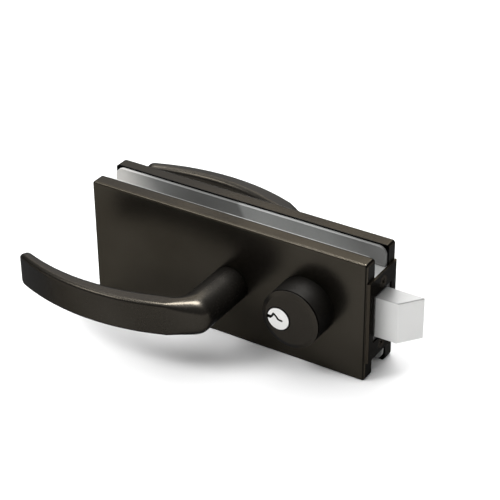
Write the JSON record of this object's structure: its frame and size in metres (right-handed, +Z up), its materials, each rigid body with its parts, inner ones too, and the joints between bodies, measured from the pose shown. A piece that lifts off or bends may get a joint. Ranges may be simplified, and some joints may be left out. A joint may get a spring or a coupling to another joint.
{
  "type": "glass door latch",
  "caption": "Latch set for a frameless glass door: cover plates that clamp the glass, bowed levers, a key cylinder, a thumbturn and a bevelled latch bolt.",
  "frame": {"origin": "middle of the glass, at the centre of the two cover plates", "axes": "+X toward the latch edge of the door, +Y from the outside to the inside, +Z up"},
  "size_m": [0.2267, 0.1548, 0.076],
  "materials": {
    "bronze_finish": "dark oil-rubbed bronze, satin",
    "dark_screw": "dark bronze, satin",
    "gasket": "grey, matt",
    "nickel": "satin nickel",
    "black_plastic": "dark nylon",
    "zinc": "zinc plated",
    "cast_hub": "sintered, matt",
    "steel": "bright zinc plated",
    "spring_steel": "drawn wire",
    "brass": "plain",
    "sleeve_plastic": "white nylon"
  },
  "bodies": {
    "housing": {"outside_cover": "bronze_finish", "inside_cover": "bronze_finish", "outside_clamp_plate": "steel", "inside_clamp_plate": "steel", "outside_gasket": "gasket", "inside_gasket": "gasket", "outside_lever_bushing": "brass", "inside_lever_bushing": "brass", "cylinder_housing": "bronze_finish", "cylinder_nut": "steel", "thumbturn_rose": "bronze_finish", "rose_nut": "steel", "lock_case": "zinc", "case_cover": "zinc", "case_screws": "steel", "slide_pins": "steel", "faceplate": "bronze_finish", "guide_plate": "black_plastic", "faceplate_screws": "dark_screw", "latch_spring": "spring_steel", "hub_spring": "spring_steel", "fixing_sleeves": "steel", "fixing_screws": "steel", "glass_sleeves": "sleeve_plastic", "cover_screws": "dark_screw"},
    "lever": {"outside_lever": "bronze_finish", "inside_lever": "bronze_finish", "spindle": "steel", "lever_hub": "cast_hub", "lever_grub_screws": "dark_screw", "outside_retaining_ring": "steel", "inside_retaining_ring": "steel"},
    "latch": {"latch_bolt": "nickel", "retractor_slide": "steel"},
    "key": {"key_plug": "nickel", "tail_bar": "steel", "plug_clip": "steel"},
    "thumbturn": {"thumbturn": "bronze_finish", "lock_cam": "brass", "thumbturn_clip": "steel"},
    "locking_slide": {"locking_slide": "steel"}
  },
  "joints": [
    {"name": "lever_turn", "type": "hinge", "parent": "housing", "child": "lever", "pos_m": [0.004, 0, -0.002], "axis": [0, -1, 0], "range_deg": [0, 60], "stiffness_Nm_per_rad": 1.2, "springref_deg": -28.65},
    {"name": "latch_slide", "type": "slide", "parent": "housing", "child": "latch", "axis": [1, 0, 0], "range_m": [-0.0234, 0], "stiffness_N_per_m": 150, "springref_m": 0.02, "deforming": ["latch_spring"]},
    {"name": "key_turn", "type": "hinge", "parent": "housing", "child": "key", "pos_m": [0.0467, 0, -0.0014], "axis": [0, 1, 0], "range_deg": [0, 90]},
    {"name": "thumb_turn", "type": "hinge", "parent": "housing", "child": "thumbturn", "pos_m": [0.0467, 0, -0.0014], "axis": [0, 1, 0], "range_deg": [0, 90]},
    {"name": "lock_slide", "type": "slide", "parent": "housing", "child": "locking_slide", "axis": [1, 0, 0], "range_m": [-0.01131, 0]}
  ],
  "couplings": [
    {"joint": "latch_slide", "follows": "lever_turn", "m_per_rad": -0.022345},
    {"joint": "key_turn", "follows": "thumb_turn", "ratio": 1},
    {"joint": "lock_slide", "follows": "thumb_turn", "m_per_rad": -0.007202}
  ]
}
